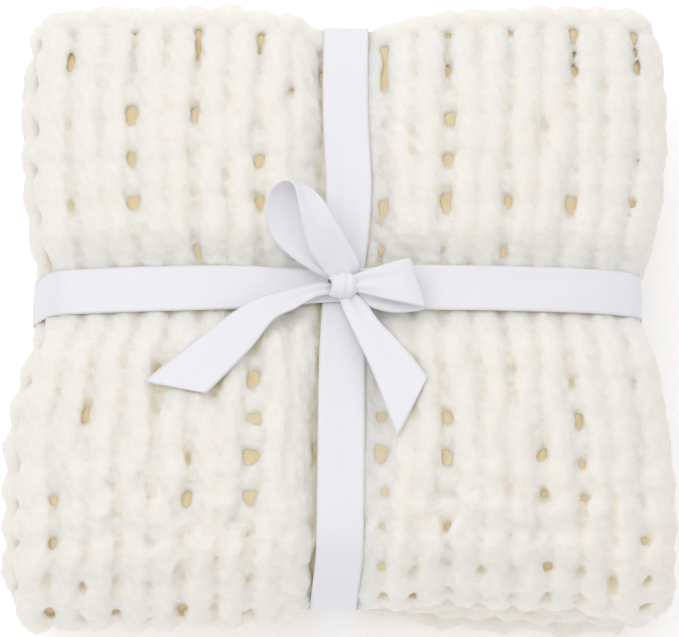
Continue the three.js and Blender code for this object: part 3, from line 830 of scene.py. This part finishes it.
def endEdges(table):
    plan = curveThrough([[left, right] for left, right in table], bow["rowStep"])
    start = np.array(table[0]).mean(axis=0)
    gone = np.linalg.norm(plan.mean(axis=1) - start, axis=1)
    landed = smooth(gone / bow["landing"])[:, None]
    top = stackHeight + bundle["ribHeight"] * bow["onRibs"]
    ground = tied(plan[..., 0], plan[..., 1], np.full(plan.shape[:2], top), 0.0)[..., 2] + bow["endClearance"]
    leaves = ribbon["knotMiddle"][2] - 1
    height = leaves + (ground - leaves) * landed
    return np.concatenate([plan, height[..., None]], axis=-1)


backRun, rightRun = loopEdges(bow["backLoop"]), loopEdges(bow["rightLoop"])
leftEndRun, rightEndRun = endEdges(bow["leftEnd"]), endEdges(bow["rightEnd"])
backLoop = bowStrip("bowBackLoop", backRun, bow["loopPleats"], 7, 0.4)
rightLoop = bowStrip("bowRightLoop", rightRun, bow["loopPleats"], 6, 1.1)
leftEnd = bowStrip("bowLeftEnd", leftEndRun, bow["endPleats"], 6, 0.2)
rightEnd = bowStrip("bowRightEnd", rightEndRun, bow["endPleats"], 6, 0.9)

knotShape = {
    "radii": (7.4, 6.9, 6.0),
    "wide": 25,             # points across the bow
    "turns": 40,            # and round it
    "drawnIn": 0.42,        # at both ends
    "pleatDepth": 0.085,
    "pleatsAcross": 9.5,
    "slant": 1.2,
    "widerAt": 0.06,        # above and below
}


def knotTurn():
    # the last turn over the middle: a short barrel across the bow with its pleats running over it
    x = np.linspace(-1, 1, knotShape["wide"])
    angle = np.arange(knotShape["turns"]) * 2 * math.pi / knotShape["turns"]
    radiusX, radiusY, radiusZ = knotShape["radii"]
    swell = (1 - knotShape["drawnIn"] * np.abs(x) ** 3)[:, None]
    overTop = (0.6 + 0.4 * np.sin(angle + 0.6))[None, :]
    pleat = 1 + knotShape["pleatDepth"] * np.cos(x * knotShape["pleatsAcross"] + 0.8)[:, None] * overTop
    slant = knotShape["slant"] * np.sin(angle)[None, :]
    points = np.stack([
        x[:, None] * radiusX * (1 + knotShape["widerAt"] * np.cos(2 * angle))[None, :] + slant,
        np.cos(angle)[None, :] * radiusY * swell * pleat,
        np.sin(angle)[None, :] * radiusZ * swell * pleat,
    ], axis=-1) + np.array(ribbon["knotMiddle"])
    return stripMesh("bowKnot", points.transpose(1, 0, 2), True)


knot = knotTurn()
print("bow made")


def newMaterial(name, settings):
    material = bpy.data.materials.new(name)
    material.use_nodes = True
    nodes, links = material.node_tree.nodes, material.node_tree.links
    shader = next(n for n in nodes if n.type == "BSDF_PRINCIPLED")
    for socket, value in settings.items():
        shader.inputs[socket].default_value = value
    return material, nodes, links, shader


def addNode(nodes, kind, settings):
    node = nodes.new("ShaderNode" + kind)
    for socket, value in settings.items():
        node.inputs[socket].default_value = value
    return node


chenilleLook = {
    "light": (0.90, 0.868, 0.825, 1),
    "warm": (0.88, 0.83, 0.765, 1),
    "paintedCreaseShade": (0.80, 0.70, 0.50, 1),   # painted shade: a tan mixed in by ambient occlusion in the creases between the stitches and close to the ribbons and the floor
    "creaseShadeReach": 0.011,
    "creaseShadeFrom": 0.25,
    "creaseShadeTo": 0.80,
    "patchSize": 42,
    "pileSize": 520,
    "tuftSize": 150,
    "pileDepth": 0.0008,
    "tuftDepth": 0.0012,
    "cloth": {
        "Roughness": 0.95,
        "Specular IOR Level": 0.1,
        "Sheen Weight": 0.35,
        "Sheen Roughness": 0.45,
        "Subsurface Weight": 0.6,
        "Subsurface Radius": (0.014, 0.011, 0.008),
        "Subsurface Scale": 1.0,
    },
}


def chenilleMaterial():
    look = chenilleLook
    material, nodes, links, shader = newMaterial("creamChenille", look["cloth"])
    place = nodes.new("ShaderNodeTexCoord")
    patch = addNode(nodes, "TexNoise", {"Scale": look["patchSize"], "Detail": 3})
    tone = addNode(nodes, "MixRGB", {"Color1": look["light"], "Color2": look["warm"]})
    pileNoise = addNode(nodes, "TexNoise", {"Scale": look["pileSize"], "Detail": 4})
    tuft = addNode(nodes, "TexNoise", {"Scale": look["tuftSize"], "Detail": 3})
    tuftBump = addNode(nodes, "Bump", {"Distance": look["tuftDepth"], "Strength": 0.7})
    pileBump = addNode(nodes, "Bump", {"Distance": look["pileDepth"], "Strength": 0.6})
    # painted shade: ambient occlusion darkens the cream towards tan in creases, beside the ribbons and near
    # the floor
    paintedCreaseShade = addNode(nodes, "AmbientOcclusion", {"Distance": look["creaseShadeReach"]})
    paintedCreaseShade.samples = 8
    openness = addNode(nodes, "MapRange", {"From Min": look["creaseShadeFrom"], "From Max": look["creaseShadeTo"]})
    shaded = addNode(nodes, "MixRGB", {"Color1": look["paintedCreaseShade"]})
    for noise in (patch, pileNoise, tuft):
        links.new(place.outputs["Object"], noise.inputs["Vector"])
    links.new(patch.outputs["Fac"], tone.inputs["Fac"])
    links.new(paintedCreaseShade.outputs["AO"], openness.inputs["Value"])
    links.new(openness.outputs["Result"], shaded.inputs["Fac"])
    links.new(tone.outputs["Color"], shaded.inputs["Color2"])
    links.new(shaded.outputs["Color"], shader.inputs["Base Color"])
    links.new(tuft.outputs["Fac"], tuftBump.inputs["Height"])
    links.new(pileNoise.outputs["Fac"], pileBump.inputs["Height"])
    links.new(tuftBump.outputs["Normal"], pileBump.inputs["Normal"])
    links.new(pileBump.outputs["Normal"], shader.inputs["Normal"])
    return material


# painted shade: these tan tones stand for the shade inside the cloth, not its own colour
shadowedLook = {
    "deep": (0.66, 0.54, 0.33, 1),
    "light": (0.80, 0.70, 0.50, 1),
    "patchSize": 130,
    "bumpDepth": 0.001,
    "cloth": {"Roughness": 1.0, "Specular IOR Level": 0.05},
}


def shadowedChenilleMaterial():
    # the same cloth where little light reaches it
    look = shadowedLook
    material, nodes, links, shader = newMaterial("shadowedChenille", look["cloth"])
    place = nodes.new("ShaderNodeTexCoord")
    patch = addNode(nodes, "TexNoise", {"Scale": look["patchSize"]})
    tone = addNode(nodes, "MixRGB", {"Color1": look["deep"], "Color2": look["light"]})
    bump = addNode(nodes, "Bump", {"Distance": look["bumpDepth"]})
    links.new(place.outputs["Object"], patch.inputs["Vector"])
    links.new(patch.outputs["Fac"], tone.inputs["Fac"])
    links.new(tone.outputs["Color"], shader.inputs["Base Color"])
    links.new(patch.outputs["Fac"], bump.inputs["Height"])
    links.new(bump.outputs["Normal"], shader.inputs["Normal"])
    return material


satinLook = {
    "shade": (0.80, 0.80, 0.845, 1),
    "light": (0.84, 0.84, 0.875, 1),
    "threads": (150, 260, 1),        # across and along
    "threadDepth": 0.00012,
    "cloth": {"Roughness": 0.36, "Specular IOR Level": 0.45, "Sheen Weight": 0.15},
}


def satinMaterial():
    look = satinLook
    material, nodes, links, shader = newMaterial("whiteSatin", look["cloth"])
    place = nodes.new("ShaderNodeUVMap")
    place.uv_map = "ribbonMap"
    threads = addNode(nodes, "Mapping", {"Scale": look["threads"]})
    weave = addNode(nodes, "TexNoise", {"Scale": 1, "Detail": 2})
    bump = addNode(nodes, "Bump", {"Distance": look["threadDepth"], "Strength": 0.5})
    tone = addNode(nodes, "MixRGB", {"Color1": look["shade"], "Color2": look["light"]})
    links.new(place.outputs["UV"], threads.inputs["Vector"])
    links.new(threads.outputs["Vector"], weave.inputs["Vector"])
    links.new(weave.outputs["Fac"], bump.inputs["Height"])
    links.new(weave.outputs["Fac"], tone.inputs["Fac"])
    links.new(tone.outputs["Color"], shader.inputs["Base Color"])
    links.new(bump.outputs["Normal"], shader.inputs["Normal"])
    return material


creamChenille, shadowedChenille, whiteSatin = chenilleMaterial(), shadowedChenilleMaterial(), satinMaterial()
ribbonPieces = [ribbonLengthwise, ribbonCrosswise, backLoop, rightLoop, leftEnd, rightEnd, knot]
for piece in knitPieces:
    piece.data.materials.append(creamChenille)
clothInside.data.materials.append(shadowedChenille)
for piece in ribbonPieces:
    piece.data.materials.append(whiteSatin)
print("materials made")


# What each piece stands for.
for piece in knitPieces + [clothInside]:
    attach(piece, "root")
    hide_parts("blanket")
for piece in ribbonPieces:
    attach(piece, "root")
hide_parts("ribbon_lengthwise")
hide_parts("ribbon_crosswise")
for piece in (backLoop, rightLoop, leftEnd, rightEnd, knot):
    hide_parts("ribbon_bow")


# Floor, light and camera.
studio = {
    "floorHalf": 3000,
    "floorUnder": 0.4,        # below the bundle's lowest point
    "floorLook": {
        "Base Color": (0.93, 0.93, 0.93, 1),
        "Emission Color": (1, 1, 1, 1),
        "Emission Strength": 0.18,
        "Roughness": 0.9,
        "Specular IOR Level": 0.0,
    },
    "elevation": 75,
    "distance": 1.5,
    "target": (0.00125, 0.0005, 0.065),
    "lens": 140.5,
    "worldStrength": 0.68,
    # name, place, aim, size and power
    "lights": [
        ("overhead", (-0.5, 0.3, 1.9), (0, 0, 0), 1.6, 11),
        ("fromBehind", (0.3, 1.6, 1.1), (0, 0, 0.05), 1.2, 5),
        ("fromFront", (-0.2, -1.5, 0.9), (0, 0, 0.05), 1.2, 2),
    ],
}
far, low = studio["floorHalf"], -studio["floorUnder"]
corners = [(-far, -far, low), (far, -far, low), (far, far, low), (-far, far, low)]
floor = meshObject("floor", corners, [[0, 1, 2, 3]])
floor.data.materials.append(newMaterial("paleFloor", studio["floorLook"])[0])

world = bpy.data.worlds.new("softRoom")
bpy.context.scene.world = world
world.use_nodes = True
world.node_tree.nodes["Background"].inputs["Color"].default_value = (1, 1, 1, 1)
world.node_tree.nodes["Background"].inputs["Strength"].default_value = studio["worldStrength"]


def softLight(name, place, target, size, power):
    lamp = bpy.data.lights.new(name, "AREA")
    lamp.size = size
    lamp.energy = power
    light = bpy.data.objects.new(name, lamp)
    light.location = place
    light.rotation_euler = (Vector(target) - Vector(place)).to_track_quat("-Z", "Y").to_euler()
    bpy.context.collection.objects.link(light)


for settings in studio["lights"]:
    softLight(*settings)

angle = math.radians(studio["elevation"])
eye = Vector(studio["target"]) + studio["distance"] * Vector((0, -math.cos(angle), math.sin(angle)))
cameraData = bpy.data.cameras.new("camera")
cameraData.sensor_width = 36
cameraData.lens = studio["lens"]
camera = bpy.data.objects.new("camera", cameraData)
camera.location = eye
camera.rotation_euler = (Vector(studio["target"]) - eye).to_track_quat("-Z", "Y").to_euler()
bpy.context.collection.objects.link(camera)
bpy.context.scene.camera = camera
bpy.context.scene.view_settings.view_transform = "Standard"
print("studio ready")
